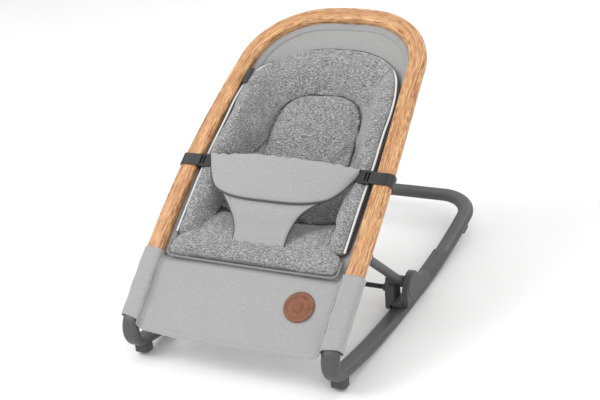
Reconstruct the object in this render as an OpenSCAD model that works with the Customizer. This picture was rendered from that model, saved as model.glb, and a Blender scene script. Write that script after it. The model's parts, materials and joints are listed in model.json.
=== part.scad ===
// Baby bouncer seat: a bent wood arch with a fabric seat, hinged on a steel rocker base.
// The side view is drawn in (along, up): along runs from the front foot pads to the rear crossbar.
// Places on the seat are given as (x, v, w): v follows the arch upwards, w stands off its plane.

/* [Base tube] */
// Half the distance between the two side rails
rail_half = 197; // [180:1:215]
// Width of the flat oval tube
tube_w = 33; // [28:1:36]
// Height of the flat oval tube
tube_h = 19; // [16:1:22]
// Wall of the tube
tube_wall = 1.8; // [1.2:0.1:3]
// Where the level stretch of a rail begins
flat_front = 262; // [230:1:290]
// Where the level stretch of a rail ends
flat_rear = 350; // [320:1:370]
// Radius of the rocker curve on both sides of the level stretch
rocker_r = 1600; // [1200:10:2400]
// Where the rear corner bends begin
corner_start = 662; // [600:1:700]
// Radius of the rear corner bends
corner_r = 70; // [50:1:90]
// Radius of the front hooks
hook_r = 33; // [30:1:38]

/* [Arch] */
// Height of the front pivots
pivot_z = 100.4; // [90:0.1:115]
// Slope of the seat at the pivots, in degrees
arch_slope = 40.6; // [36:0.1:45]
// Radius of the arch in side view
arch_r = 2817; // [2000:1:5000]
// Length of the arch along its curve
arch_top = 705; // [680:1:730]
// Radius of the arch's upper corners
shoulder_r = 145; // [130:1:150]
// Radius of the arch's crown
crown_r = 416; // [380:1:480]
// Width of the arch's section
arch_w = 34; // [28:1:38]
// Thickness of the arch's section
arch_t = 19; // [16:1:21]

/* [Struts] */
// Along-position of a strut's foot pin
foot_s = 294; // [285:1:300]
// Height of a strut's foot pin
foot_z = 66; // [60:1:70]
// Place of a strut's head pin along the arch
head_v = 166; // [160:1:172]
// Depth of a strut's head pin below the arch's middle
head_drop = 24; // [23:1:26]
// Diameter of a strut tube
strut_d = 17; // [14:0.5:18]
// Diameter of the rod between the rail shoes
rod_d = 9.5; // [8:0.5:12]

/* [Fabric] */
// Thickness of the sling and the skirt
cloth_t = 2.4; // [1.5:0.1:3]
// Length of the skirt's sleeves above the pivots
skirt_top = 103; // [95:1:104]
// Depth of the skirt's hem below the pivots
hem_drop = 46; // [40:1:50]
// Thickness of the seat and back pads
pad_t = 15; // [10:1:18]
// Thickness of the side and head bolsters
bolster_t = 27; // [20:1:30]
// Height at which the belly straps meet the arch
strap_v = 306; // [290:1:320]
// Width of the belly straps
strap_w = 25; // [20:1:28]
// Diameter of the badge on the skirt
badge_d = 57; // [50:1:66]

/* [Buttons and buckles] */
// Diameter of the hub buttons
button_d = 48; // [40:1:50]
// Travel of a hub button
button_travel = 3; // [2:0.5:3]
// Outside face of the hub housings
hub_out = 217.5; // [217:0.5:220]
// Width of a buckle along its strap
buckle_len = 26; // [22:1:28]

/* [Hidden] */

// Clearance round running pins, and between parts that lie against each other
run = 0.05;
gap = 0.3;
pin_r = 3;

// Rail in side view: a level stretch between two rocker arcs
rail_z = tube_h / 2;
arc_z = rail_z + rocker_r;
rear_ang = asin((corner_start - flat_rear) / rocker_r);
corner_z = arc_z - rocker_r * cos(rear_ang);

// Front hook: a circle that touches the arch's line through the pivot and the front rocker arc
function hook_centre(t) = [
    t * cos(arch_slope) + hook_r * sin(arch_slope),
    pivot_z + t * sin(arch_slope) - hook_r * cos(arch_slope)
];
hook_off = hook_centre(0) - [flat_front, arc_z];
hook_b = hook_off * [cos(arch_slope), sin(arch_slope)];
hook_c = hook_off * hook_off - pow(rocker_r - hook_r, 2);
hook_t = -hook_b - sqrt(hook_b * hook_b - hook_c);
hook_p = hook_centre(hook_t);
front_ang = asin((flat_front - hook_p[0]) / (rocker_r - hook_r));
// How far short of the pivot the tube ends
hook_stop = 15;

// Arch: slope of the curve at v, and the side-view point at v with w above it
function slope_at(v) = arch_slope - v / arch_r * 180 / PI;
function side(v, w = 0) = [
    arch_r * (sin(arch_slope) - sin(slope_at(v))) - w * sin(slope_at(v)),
    pivot_z + arch_r * (cos(slope_at(v)) - cos(arch_slope)) + w * cos(slope_at(v))
];
function seat_point(x, v, w) = [x, side(v, w)[0], side(v, w)[1]];

// Ends of the object in side view, and the middle between them, which is the origin's y
front_end = hook_p[0] - hook_r - tube_h / 2;
rear_end = corner_start + (corner_r + tube_w / 2 - tube_h / 2) * cos(rear_ang) + tube_h / 2;
mid_s = (front_end + rear_end) / 2;

// Half-width of the arch's centreline at v, less an inset
side_taper = 0.031;
side_bow = 9.5;
shoulder_v = 557.8;
crown_v = arch_top - crown_r;
shoulder_x = sqrt(pow(crown_r - shoulder_r, 2) - pow(shoulder_v - crown_v, 2));
crown_ang = atan2(shoulder_v - crown_v, shoulder_x);
function flank(v) = rail_half - side_taper * v + side_bow * sin(180 * v / shoulder_v);
function circle_half(v, centre_v, r) = sqrt(max(0, r * r - pow(v - centre_v, 2)));
function inner_half(v, inset) = v < shoulder_v
    ? flank(v) - inset
    : min(
        shoulder_x + circle_half(v, shoulder_v, shoulder_r - inset),
        circle_half(v, crown_v, crown_r - inset)
    );

// The sling hangs below the arch: its depth down the middle, easing up to the arch at both sides
sling_inset = arch_w / 2 + 3.5;
sling_edge = 6;
sling_front = 105;
sling_end = arch_top - sling_inset - 0.4;
depths = [[105, 8], [155, 25], [200, 52], [240, 76], [300, 84], [400, 74], [500, 56], [600, 34], [690, 8]];
function trough(x, v) =
    -sling_edge - (lookup(v, depths) - sling_edge)
    * (1 - pow(min(1, abs(x) / max(20, inner_half(v, sling_inset))), 2.6));

// Pads lie this far above the sling
pad_lift = 4.5;

// Strut in side view, from the head pin under the arch to the foot pin above the rail
head_p = side(head_v, -head_drop);
foot_p = [foot_s, foot_z];
strut_run = foot_p - head_p;
strut_len = norm(strut_run);
strut_ang = atan2(strut_run[1], strut_run[0]);
head_eye_r = 8.5;
foot_eye_r = 11;

// Rod and button centres in side view
rod_p = [foot_s + 3, foot_z - 19];
button_p = [foot_s + 14, foot_z - 12];

// Inner faces of the hub housing and of the button's pocket
hub_in = 206.5;
button_t = 3.5;
pocket_x = hub_out - button_t - button_travel - 0.5;
spring_t = 2.5;
stem_r = 5;
spring_r = [11, 14];

// ---------------------------------------------------------------- helpers

module in_frame() translate([0, -mid_s, 0]) children();

// Turns a drawing so that its X runs along the object, its Y runs up and its Z runs across
module side_view() in_frame() rotate([90, 0, 90]) children();

// Sweeps a section (radial, across) along an arc, or along a line, in side view
module side_arc(c, r, a0, a1, fn = 144) side_view() translate([c[0], c[1], 0]) rotate([0, 0, a0])
    rotate_extrude(angle = a1 - a0, $fn = fn) translate([r, 0]) children();

module side_line(p, ang, len) side_view() translate([p[0], p[1], 0]) rotate([0, 0, ang])
    rotate([90, 0, 90]) linear_extrude(len) children();

// A side-view outline made solid from x0 to x1, and a round bar along X
module side_plate(x0, x1) side_view() translate([0, 0, x0]) linear_extrude(x1 - x0) children();

module x_bar(p, x0, x1, r) side_plate(x0, x1) translate(p) circle(r = r, $fn = 64);

// Places a piece at (x, v, w), with its X across the seat, its Y up the arch and its Z out of it
module on_arch(x, v, w = 0) in_frame() translate(seat_point(x, v, w)) rotate([slope_at(v), 0, 0]) children();

module both_sides() {
    children();
    mirror([1, 0, 0]) children();
}

module oval(w, h) {
    square([w - h, h], center = true);
    for (sx = [-1, 1])
        translate([sx * (w - h) / 2, 0]) circle(d = h, $fn = 48);
}

module rounded(w, h, r) {
    square([w - 2 * r, h], center = true);
    square([w, h - 2 * r], center = true);
    for (sx = [-1, 1], sy = [-1, 1])
        translate([sx * (w / 2 - r), sy * (h / 2 - r)]) circle(r = r, $fn = 32);
}

// Section of the base tube, a little grown, to cut a seat for it
module tube_section(grow) oval(tube_w + 2 * grow, tube_h + 2 * grow);

// Two grids of triangles, one above the other, closed round their edges
function cell(i, j, n) = [i * n + j, i * n + j + 1, (i + 1) * n + j + 1, (i + 1) * n + j];
function wall(a, b, up) = [[a, b, b + up], [a, b + up, a + up]];

// A closed cushion: spot(a, b) gives [x, v] over a grid, and low and high give w there
module cushion(rows, cols, spot, low, high) {
    n = cols + 1;
    up = (rows + 1) * n;
    grid = [for (i = [0:rows], j = [0:cols]) spot(i / rows, j / cols)];
    points = concat(
        [for (g = grid) seat_point(g[0], g[1], low(g[0], g[1]))],
        [for (g = grid) seat_point(g[0], g[1], high(g[0], g[1]))]
    );
    skins = [for (i = [0:rows - 1], j = [0:cols - 1]) let (q = cell(i, j, n)) each [
        [q[0], q[1], q[2]],
        [q[0], q[2], q[3]],
        [up + q[0], up + q[2], up + q[1]],
        [up + q[0], up + q[3], up + q[2]]
    ]];
    ends = [for (j = [0:cols - 1]) each concat(wall(j + 1, j, up), wall(rows * n + j, rows * n + j + 1, up))];
    edges = [for (i = [0:rows - 1]) each concat(
        wall(i * n, (i + 1) * n, up),
        wall((i + 1) * n + cols, i * n + cols, up)
    )];
    in_frame() polyhedron(points = points, faces = concat(skins, ends, edges), convexity = 6);
}

// ---------------------------------------------------------------- base

// The tube is a sweep of rings. A stop is [centre, width axis, height axis], seen from the right side.
function side_stop(p, heading) =
    [[rail_half, p[0], p[1]], [1, 0, 0], [0, -sin(heading), cos(heading)]];
function arc_stops(c, r, a0, a1, n) =
    [for (k = [0:n]) let (a = a0 + (a1 - a0) * k / n) side_stop(c + r * [cos(a), sin(a)], a + 90)];
function corner_stop(a) = let (out = [cos(a), sin(a) * cos(rear_ang), sin(a) * sin(rear_ang)])
    [[rail_half - corner_r, corner_start, corner_z] + corner_r * out, out, [0, -sin(rear_ang), cos(rear_ang)]];
half_stops = concat(
    [side_stop([0, pivot_z] - hook_stop * [cos(arch_slope), sin(arch_slope)], 180 + arch_slope)],
    arc_stops(hook_p, hook_r, 90 + arch_slope, 270 - front_ang, 14),
    [for (k = [1:6]) arc_stops([flat_front, arc_z], rocker_r, 270 - front_ang, 270, 6)[k]],
    arc_stops([flat_rear, arc_z], rocker_r, 270, 270 + rear_ang, 6),
    [for (k = [1:9]) corner_stop(10 * k)]
);
function flip(p) = [-p[0], p[1], p[2]];
stop_n = len(half_stops);
stops = concat(half_stops, [for (k = [stop_n - 1:-1:0]) let (s = half_stops[k]) [flip(s[0]), flip(s[1]), s[2]]]);

// Points of an oval, the same number for the outside of the tube and for its bore
oval_n = 16;
function oval_points(w, h) = [for (k = [0:oval_n - 1]) let (a = (k + 0.5) * 360 / oval_n)
    [sign(cos(a)) * (w - h) / 2 + h / 2 * cos(a), h / 2 * sin(a) / cos(180 / oval_n)]];
function swept(section) = [for (s = stops, p = section) s[0] + p[0] * s[1] + p[1] * s[2]];

module base_tube() color("#5b5d60") {
    n = oval_n;
    last = (2 * stop_n - 1) * n;
    bore = 2 * stop_n * n;
    points = concat(
        swept(oval_points(tube_w, tube_h)),
        swept(oval_points(tube_w - 2 * tube_wall, tube_h - 2 * tube_wall))
    );
    skins = [for (k = [0:2 * stop_n - 2], j = [0:n - 1])
        let (a = k * n + j, b = k * n + (j + 1) % n) each [
            [a, b + n, a + n],
            [a, b, b + n],
            [bore + a, bore + a + n, bore + b + n],
            [bore + a, bore + b + n, bore + b]
        ]];
    ends = [for (j = [0:n - 1]) let (i = (j + 1) % n) each [
        [j, bore + i, i],
        [j, bore + j, bore + i],
        [last + j, last + i, bore + last + i],
        [last + j, bore + last + i, bore + last + j]
    ]];
    in_frame() polyhedron(points = points, faces = concat(skins, ends), convexity = 8);
}

// Rubber block under a front hook, shaped to the tube
front_pad_z = 8;
hook_meet = hook_p + hook_r * [-sin(front_ang), -cos(front_ang)];
module front_pad() color("#3c3d3f") difference() {
    in_frame() translate([rail_half, hook_p[0] - 1, front_pad_z]) linear_extrude(20) rounded(29, 26, 8);
    translate([rail_half, 0, 0])
        side_line(hook_meet - 25 * [cos(front_ang), -sin(front_ang)], -front_ang, 60) rotate(90) tube_section(0.15);
    in_frame() translate([rail_half - 20, -20, hook_meet[1] - 1]) cube([40, 60, 30]);
}

// Rubber stop under the outer edge of a rail, near the rear
rear_pad_s = 632;
rear_pad_len = 26;
module rear_pad() color("#2c2c2e") side_view() translate([flat_rear, arc_z, rail_half])
    rotate([0, 0, 270 + asin((rear_pad_s - flat_rear) / rocker_r)]) translate([rocker_r, 0, 0]) difference() {
        translate([tube_h / 2 - 4, -rear_pad_len / 2, -8]) cube([8, rear_pad_len, 22]);
        rotate([90, 0, 0]) linear_extrude(60, center = true) rotate(90) tube_section(0.15);
    }

// Places a drawing on the rail's top, behind the level stretch, with its X pointing down into the rail
function rail_turn(s) = asin((s - flat_rear) / rocker_r);
module on_rail(s, x) side_view() translate([flat_rear, arc_z, x]) rotate([0, 0, 270 + rail_turn(s)])
    translate([rocker_r - tube_h / 2, 0, 0]) children();

// Outer housing of a hub: a plate with a round boss, a foot on the rail's edge and a tail along its top
tail_s = [foot_s + 90, foot_s + 216];
tail_x = [185, hub_in + 2.5];
tail_t = 5;
hub_screw_s = [foot_s + 112, foot_s + 198];
hub_screw_x = 195;
head_t = 2;
module hub_outline() {
    translate(button_p) circle(r = button_d / 2 + 3.5, $fn = 96);
    polygon([
        [foot_s - 18, tube_h + 2], [foot_s + 103, tube_h + 2], [foot_s + 103, 31], [foot_s + 98, 41],
        [foot_s + 87, 48], [foot_s + 64, 53], [foot_s + 48, 58], [foot_s + 37, 66],
        [foot_s + 14, 74], [foot_s - 5, 69], [foot_s - 18, 56]
    ]);
}

module hub_foot() difference() {
    side_plate(hub_in, hub_out - 4.5) translate([foot_s - 14, tube_h - 2]) square([64, 5]);
    translate([rail_half, 0, 0]) side_line([200, rail_z], 0, 300) rotate(90) tube_section(0.5);
}

module hub_tail() difference() {
    side_arc([flat_rear, arc_z], rocker_r - tube_h / 2, 270 + rail_turn(tail_s[0]), 270 + rail_turn(tail_s[1]), 1440)
        translate([-tail_t, tail_x[0]]) square([tail_t + 3, tail_x[1] - tail_x[0]]);
    side_arc([flat_rear, arc_z], rocker_r, 270.5, 270.5 + rail_turn(tail_s[1]), 1440)
        translate([0, rail_half]) rotate(90) tube_section(0.5);
}

// A round bar square to the rail's top, from height h1 down to h0
module screw_bar(s, h0, h1, r) on_rail(s, hub_screw_x) translate([-h1, 0, 0]) rotate([0, 90, 0])
    cylinder(r = r, h = h1 - h0, $fn = 48);

module hub_housing() color("#4d4f52") difference() {
    union() {
        side_plate(hub_in, hub_out) hub_outline();
        hub_foot();
        hub_tail();
    }
    x_bar(button_p, pocket_x, hub_out + 1, button_d / 2 + 0.4);
    x_bar(button_p, hub_in - 1, hub_out, stem_r + run);
    difference() {
        x_bar(button_p, pocket_x - spring_t, hub_out, spring_r[1] + 0.4);
        x_bar(button_p, pocket_x - spring_t - 1, hub_out + 1, spring_r[0] - 0.4);
    }
    for (s = hub_screw_s) {
        screw_bar(s, -1, tail_t + 1, 1.7);
        screw_bar(s, tail_t - head_t, tail_t + 1, 3.6);
    }
}

module hub_screws() color("#8a8c90") both_sides() for (s = hub_screw_s) {
    screw_bar(s, 0.6, tail_t - head_t + 0.1, 1.6);
    screw_bar(s, tail_t - head_t + 0.05, tail_t - 0.2, 3.3);
}

// Wave springs behind the buttons, at the height they press down to
module button_springs() color("#a9abae") both_sides() difference() {
    x_bar(button_p, pocket_x - spring_t + 0.1, pocket_x - 0.2, spring_r[1]);
    x_bar(button_p, pocket_x - spring_t - 1, pocket_x + 1, spring_r[0]);
}

module hub_button() color("#57595c") {
    x_bar(button_p, hub_out - button_t, hub_out + 1, button_d / 2);
    x_bar(button_p, pocket_x - 0.5, hub_out - 3, stem_r);
}

// Fitting in the end of a hook, with the pivot's eye
eye_w = 14;
eye_r = 10;
module at_pivot() in_frame() translate([rail_half, 0, pivot_z]) rotate([arch_slope, 0, 0]) children();

module along_y(y0, y1) translate([0, y1, 0]) rotate([90, 0, 0]) linear_extrude(y1 - y0) children();

module hook_end() color("#3f4042") difference() {
    union() {
        at_pivot() {
            along_y(-hook_stop - 3, -hook_stop + 1) oval(tube_w - 2 * tube_wall - 0.3, tube_h - 2 * tube_wall - 0.3);
            along_y(-hook_stop + 0.1, -hook_stop + 2) oval(tube_w, tube_h);
            translate([-eye_w / 2, -hook_stop + 1, -8]) cube([eye_w, hook_stop, 16]);
        }
        x_bar([0, pivot_z], rail_half - eye_w / 2, rail_half + eye_w / 2, eye_r);
    }
    x_bar([0, pivot_z], rail_half - eye_w, rail_half + eye_w, pin_r + run);
}

pivot_half = 14;
module pivot_pins() color("#b4b6b8") both_sides() {
    x_bar([0, pivot_z], rail_half - pivot_half, rail_half + pivot_half, pin_r);
    x_bar([0, pivot_z], rail_half - pivot_half - 1.2, rail_half - pivot_half, 4.5);
    x_bar([0, pivot_z], rail_half + pivot_half, rail_half + pivot_half + 1.2, 4.5);
}

// ---------------------------------------------------------------- seat frame

arch_foot = 26;
function arch_half_path() = concat(
    [for (k = [0:12]) let (v = arch_foot + (shoulder_v - arch_foot) * k / 12) [flank(v), v]],
    [for (k = [1:10]) let (a = crown_ang * k / 10)
        [shoulder_x + shoulder_r * cos(a), shoulder_v + shoulder_r * sin(a)]],
    [for (k = [1:2]) let (a = crown_ang + (90 - crown_ang) * k / 2) [crown_r * cos(a), crown_v + crown_r * sin(a)]]
);
half_path = arch_half_path();
half_n = len(half_path);
arch_path = concat(half_path, [for (k = [half_n - 2:-1:0]) [-half_path[k][0], half_path[k][1]]]);
arch_n = len(arch_path);
corner = 6.5;
arch_section = [for (q = [0:3], k = [0:3]) let (a = 90 * q + 30 * k)
    [
        (arch_w / 2 - corner) * ((q == 0 || q == 3) ? 1 : -1) + corner * cos(a),
        (arch_t / 2 - corner) * (q < 2 ? 1 : -1) + corner * sin(a)
    ]];
section_n = len(arch_section);
function unit(p) = p / norm(p);
function heading(k) = unit(arch_path[min(k + 1, arch_n - 1)] - arch_path[max(k - 1, 0)]);
function ring(k) = let (d = heading(k), c = arch_path[k])
    [for (p = arch_section) seat_point(c[0] + p[0] * d[1], c[1] - p[0] * d[0], p[1])];

module arch_frame() color("#d9a066") {
    points = [for (k = [0:arch_n - 1]) each ring(k)];
    sides = [for (k = [0:arch_n - 2], j = [0:section_n - 1])
        let (a = k * section_n + j, b = k * section_n + (j + 1) % section_n)
        each [[a, a + section_n, b + section_n], [a, b + section_n, b]]];
    first = [for (j = [0:section_n - 1]) j];
    last = [for (j = [section_n - 1:-1:0]) (arch_n - 1) * section_n + j];
    in_frame() polyhedron(points = points, faces = concat(sides, [first], [last]), convexity = 6);
}

// Fitting on an arch end: a pocket for the wood and a fork round the pivot's eye
socket_y = 14;
socket_len = 32;
ear_t = 5;
module arch_socket() color("#3f4042") difference() {
    union() {
        at_pivot() {
            along_y(socket_y, socket_y + socket_len) rounded(37.8, 22.4, 7.2);
            for (sx = [-1, 1])
                translate([sx * (eye_w / 2 + gap + ear_t / 2) - ear_t / 2, 0, 0])
                    rotate([90, 0, 90]) linear_extrude(ear_t) {
                        circle(r = 9, $fn = 64);
                        translate([0, -8]) square([socket_y + 1, 16]);
                    }
        }
    }
    at_pivot() along_y(arch_foot - 2, 80) rounded(arch_w + 2, arch_t + 1.6, 6.4);
    x_bar([0, pivot_z], rail_half - 20, rail_half + 20, pin_r + run);
}

// Bracket under the arch with two ears for a strut's head
bracket_x = rail_half;
head_w = 12;
module strut_bracket() color("#3f4042") difference() {
    on_arch(bracket_x, head_v, -head_drop) {
        translate([-13, -14, head_drop - arch_t / 2 - gap - 3.2]) linear_extrude(3.2)
            translate([13, 14]) rounded(26, 28, 5);
        for (sx = [-1, 1])
            translate([sx * (head_w / 2 + gap + 2.2) - 2.2, 0, 0]) rotate([90, 0, 90]) linear_extrude(4.4) {
                circle(r = 8, $fn = 48);
                translate([-8, 0]) square([16, head_drop - arch_t / 2 - gap - 2]);
            }
    }
    x_bar(head_p, bracket_x - 20, bracket_x + 20, pin_r + run);
}

module bracket_pins() color("#b4b6b8") both_sides()
    x_bar(head_p, bracket_x - 11, bracket_x + 11, pin_r);

// ---------------------------------------------------------------- struts and rail shoes

// A drawing along the strut: X runs from the head pin to the foot pin
module on_strut() side_view() translate([head_p[0], head_p[1], rail_half]) rotate([0, 0, strut_ang]) children();

module strut_bar(x0, x1, r) on_strut() translate([x0, 0, 0]) rotate([0, 90, 0]) cylinder(r = r, h = x1 - x0, $fn = 64);

tube_from = 13;
tube_to = strut_len - 16;
module strut_tube() color("#5b5d60") difference() {
    strut_bar(tube_from, tube_to, strut_d / 2);
    strut_bar(tube_from - 1, tube_to + 1, strut_d / 2 - 1.5);
}

module strut_head() color("#3f4042") difference() {
    union() {
        strut_bar(9.5, tube_from + 16, strut_d / 2 - 1.6);
        intersection() {
            strut_bar(3, tube_from - 0.1, strut_d / 2);
            on_strut() translate([0, -20, -head_w / 2]) cube([40, 40, head_w]);
        }
        x_bar(head_p, rail_half - head_w / 2, rail_half + head_w / 2, head_eye_r);
    }
    x_bar(head_p, rail_half - 20, rail_half + 20, pin_r + run);
}

shoe_in = 171;
shoe_face = 188.7;
module strut_foot() color("#3f4042") difference() {
    union() {
        strut_bar(tube_to - 16, strut_len - 4, strut_d / 2 - 1.6);
        strut_bar(tube_to + 0.1, strut_len - 5, strut_d / 2 - 0.6);
        x_bar(foot_p, shoe_face + gap, hub_in - 1.2, foot_eye_r);
    }
    x_bar(foot_p, rail_half - 20, rail_half + 20, pin_r + run);
}

// Shoe that slides along a rail, carrying the strut's foot pin and an end of the rod
rail_in = rail_half - tube_w / 2;
module rail_shoe() color("#4d4f52") difference() {
    union() {
        side_plate(shoe_in, rail_in - 0.8) {
            translate(foot_p) circle(r = 12, $fn = 64);
            translate(rod_p) circle(r = 14, $fn = 64);
            polygon([
                [foot_s - 12, 66], [foot_s + 12, 66], [foot_s + 18, 44], [foot_s + 18, 14],
                [foot_s + 12, 8], [foot_s - 10, 8], [foot_s - 16, 14], [foot_s - 16, 44]
            ]);
        }
        side_plate(rail_in - 1, shoe_face) {
            translate(foot_p) circle(r = 12, $fn = 64);
            translate([foot_s - 16, tube_h + 2]) square([34, foot_z - tube_h - 6]);
        }
        side_plate(shoe_face - 1, hub_in - 1.5)
            translate([foot_s - 22, tube_h + 2]) square([46, 7]);
        x_bar(rod_p, shoe_in - 9, shoe_in + 2, 7.5);
    }
    x_bar(foot_p, shoe_in - 1, shoe_face + 1, pin_r + run);
    x_bar(rod_p, shoe_in - 10, rail_in - 3, rod_d / 2 + run);
}

module shoe_pins() color("#b4b6b8") both_sides() x_bar(foot_p, shoe_in + 1, hub_in - 1, pin_r);

module cross_rod() color("#2a2a2c") x_bar(rod_p, -rail_in + 4, rail_in - 4, rod_d / 2);

// ---------------------------------------------------------------- fabric

function ease(a) = 1 - pow(1 - a, 1.4);

module sling() color("#c3c4c6") cushion(26, 12,
    function (a, b) let (v = sling_front + (sling_end - sling_front) * ease(a))
        [(2 * b - 1) * max(8, inner_half(v, sling_inset)), v],
    function (x, v) trough(x, v) - cloth_t,
    function (x, v) trough(x, v)
);

// Front panel with a sleeve round each end of the arch
sleeve_from = 18;
sleeve_in = [39.6, 23];
sleeve_shift = 0.5;
sleeve_wall = 2;
panel_v = 33;
panel_half = 177.3;
hem_curve = 8;
module skirt() color("#c3c4c6") {
    on_arch(0, panel_v) translate([0, 0, -cloth_t / 2]) linear_extrude(cloth_t) polygon(concat(
        [for (k = [-6:6]) let (x = panel_half * k / 6)
            [x, -hem_drop - panel_v + hem_curve * pow(k / 6, 2)]],
        [[panel_half, sling_front - 3 - panel_v], [-panel_half, sling_front - 3 - panel_v]]
    ));
    both_sides() on_arch(rail_half + sleeve_shift, (sleeve_from + skirt_top) / 2)
        along_y(-(skirt_top - sleeve_from) / 2, (skirt_top - sleeve_from) / 2) difference() {
            rounded(sleeve_in[0] + 2 * sleeve_wall, sleeve_in[1] + 2 * sleeve_wall, 9);
            rounded(sleeve_in[0], sleeve_in[1], 7.5);
        }
}

function padded(x, v, t) = trough(x, v) + pad_lift + t;

seat_half = [[108, 160], [116, 165], [131, 164], [146, 125], [232, 120]];
module seat_pad() color("#9fa1a3") cushion(12, 8,
    function (a, b) let (v = 109 + 122 * a) [(2 * b - 1) * lookup(v, seat_half), v],
    function (x, v) padded(x, v, 0),
    function (x, v) padded(x, v, pad_t)
);

module back_pad() color("#9fa1a3") cushion(6, 8,
    function (a, b) [(2 * b - 1) * 121, 238 + 100 * a],
    function (x, v) padded(x, v, 0),
    function (x, v) padded(x, v, pad_t)
);

// Headrest: straight sides up to head_v0, then a round top
head_v0 = 425;
head_half = 92;
module headrest_pad() color("#8f9193") cushion(10, 8,
    function (a, b) let (v = 352 + (head_v0 + head_half - 1 - 352) * ease(a))
        [(2 * b - 1) * (v < head_v0 ? head_half : circle_half(v, head_v0, head_half)), v],
    function (x, v) padded(x, v, 0),
    function (x, v) padded(x, v, pad_t)
);

// Bolster round the headrest: two legs and an arch, from an inner to an outer outline
bolster_out = 163;
bolster_top = 620;
bolster_foot = 344;
leg_share = 0.15;
function u_spot(a, r) =
    let (
        turn = max(0, min(1, (a - leg_share) / (1 - 2 * leg_share))) * 180,
        leg = max(0, leg_share - min(a, 1 - a)) / leg_share * (head_v0 - bolster_foot),
        in_r = head_half + 4,
        rx = in_r + (bolster_out - in_r) * r,
        rv = in_r + (bolster_top - head_v0 - in_r) * r
    ) [rx * cos(turn), head_v0 - leg + rv * sin(turn)];

module head_bolster() color("#9fa1a3") cushion(20, 4,
    function (a, b) u_spot(a, 1 - b),
    function (x, v) padded(x, v, 0),
    function (x, v) padded(x, v, bolster_t - 8)
);

// Side bolster, thinner towards its ends
module side_bolster() color("#9fa1a3") cushion(7, 4,
    function (a, b) [129 + 34 * b, 152 + 184 * a],
    function (x, v) padded(x, v, 1),
    function (x, v) padded(x, v, bolster_t * 0.5 + (bolster_t * 0.45) * sin(180 * (v - 152) / 184))
);

// Belly band, bowed out over the seat, and the crotch strap below it
band_half = 150;
band_top = 320;
band_low = 231;
function band_w(x) = 17 + 20 * (1 - pow(x / band_half, 2));
module belly_band() color("#c3c4c6") cushion(12, 4,
    function (a, b) let (x = band_half * (1 - 2 * a), low = band_low + 62 * pow(abs(x) / band_half, 3.2))
        [x, low + (band_top - low) * b],
    function (x, v) band_w(x) - 2,
    function (x, v) band_w(x) + 2
);

strap_rise = [[150, 2], [170, 4], [200, 14], [233, 31]];
strap_half = [[150, 53], [190, 56], [212, 66], [233, 96]];
module crotch_strap() color("#c3c4c6") cushion(6, 4,
    function (a, b) let (v = 150 + 79 * a) [(2 * b - 1) * lookup(v, strap_half), v],
    function (x, v) lookup(v, strap_rise) - 2,
    function (x, v) lookup(v, strap_rise) + 2
);

// Webbing loop round a side of the arch, with a tab towards its buckle
buckle_out = 176;
strap_x = flank(strap_v);
module strap_loop() color("#2b2b2d") {
    on_arch(strap_x, strap_v) along_y(-strap_w / 2, strap_w / 2) difference() {
        rounded(arch_w + 5.6, arch_t + 5.6, 8.5);
        rounded(arch_w + 2, arch_t + 2, 7);
    }
    on_arch(0, strap_v) translate([buckle_out + gap, -strap_w / 2, 8.8])
        cube([strap_x - arch_w / 2 + 1.8 - buckle_out, strap_w, 1.8]);
}

// Buckle: two webbing slots and a pocket for the tongue
buckle_x = buckle_out - buckle_len;
module buckle() color("#2b2b2d") on_arch(0, strap_v, 10) difference() {
    translate([buckle_x + buckle_len / 2, 0, -3]) linear_extrude(6) rounded(buckle_len, strap_w + 2, 2.5);
    for (x = [5, 11])
        translate([buckle_out - x - 1.6, -9.5, -5]) cube([3.2, 19, 10]);
    translate([buckle_x - 1, -10, -1.7]) cube([12.5, 20, 3.4]);
}

module tongue() color("#2b2b2d") on_arch(0, strap_v, 10) {
    translate([buckle_x - 0.4 - 21, -11, -2]) cube([21, 22, 4]);
    translate([buckle_x - 2, -9.5, -1.4]) cube([12.4, 19, 2.8]);
}

// Round badge on the skirt, with a raised ring, and a plain tag at the edge of the seat
module badge() color("#8a5a3c") on_arch(0, panel_v) translate([117, 12, cloth_t / 2 + gap]) {
    cylinder(d = badge_d, h = 1.8, $fn = 96);
    difference() {
        cylinder(d = badge_d - 8, h = 2.3, $fn = 96);
        cylinder(d = badge_d - 11, h = 3, $fn = 96);
    }
}

module side_tag() color("#1f1f20") on_arch(-159, 522, -3) translate([-4, -20, 0]) cube([8, 40, 1]);

// ---------------------------------------------------------------- left and right

module left() mirror([1, 0, 0]) children();

module front_pad_left() left() front_pad();
module front_pad_right() front_pad();
module rear_pad_left() left() rear_pad();
module rear_pad_right() rear_pad();
module hub_housing_left() left() hub_housing();
module hub_housing_right() hub_housing();
module hub_button_left() left() hub_button();
module hub_button_right() hub_button();
module hook_end_left() left() hook_end();
module hook_end_right() hook_end();
module arch_socket_left() left() arch_socket();
module arch_socket_right() arch_socket();
module strut_bracket_left() left() strut_bracket();
module strut_bracket_right() strut_bracket();
module strut_tube_left() left() strut_tube();
module strut_tube_right() strut_tube();
module strut_head_left() left() strut_head();
module strut_head_right() strut_head();
module strut_foot_left() left() strut_foot();
module strut_foot_right() strut_foot();
module rail_shoe_left() left() rail_shoe();
module rail_shoe_right() rail_shoe();
module side_bolster_left() left() side_bolster();
module side_bolster_right() side_bolster();
module strap_loop_left() left() strap_loop();
module strap_loop_right() strap_loop();
module buckle_left() left() buckle();
module buckle_right() buckle();
module tongue_left() left() tongue();
module tongue_right() tongue();

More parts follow.
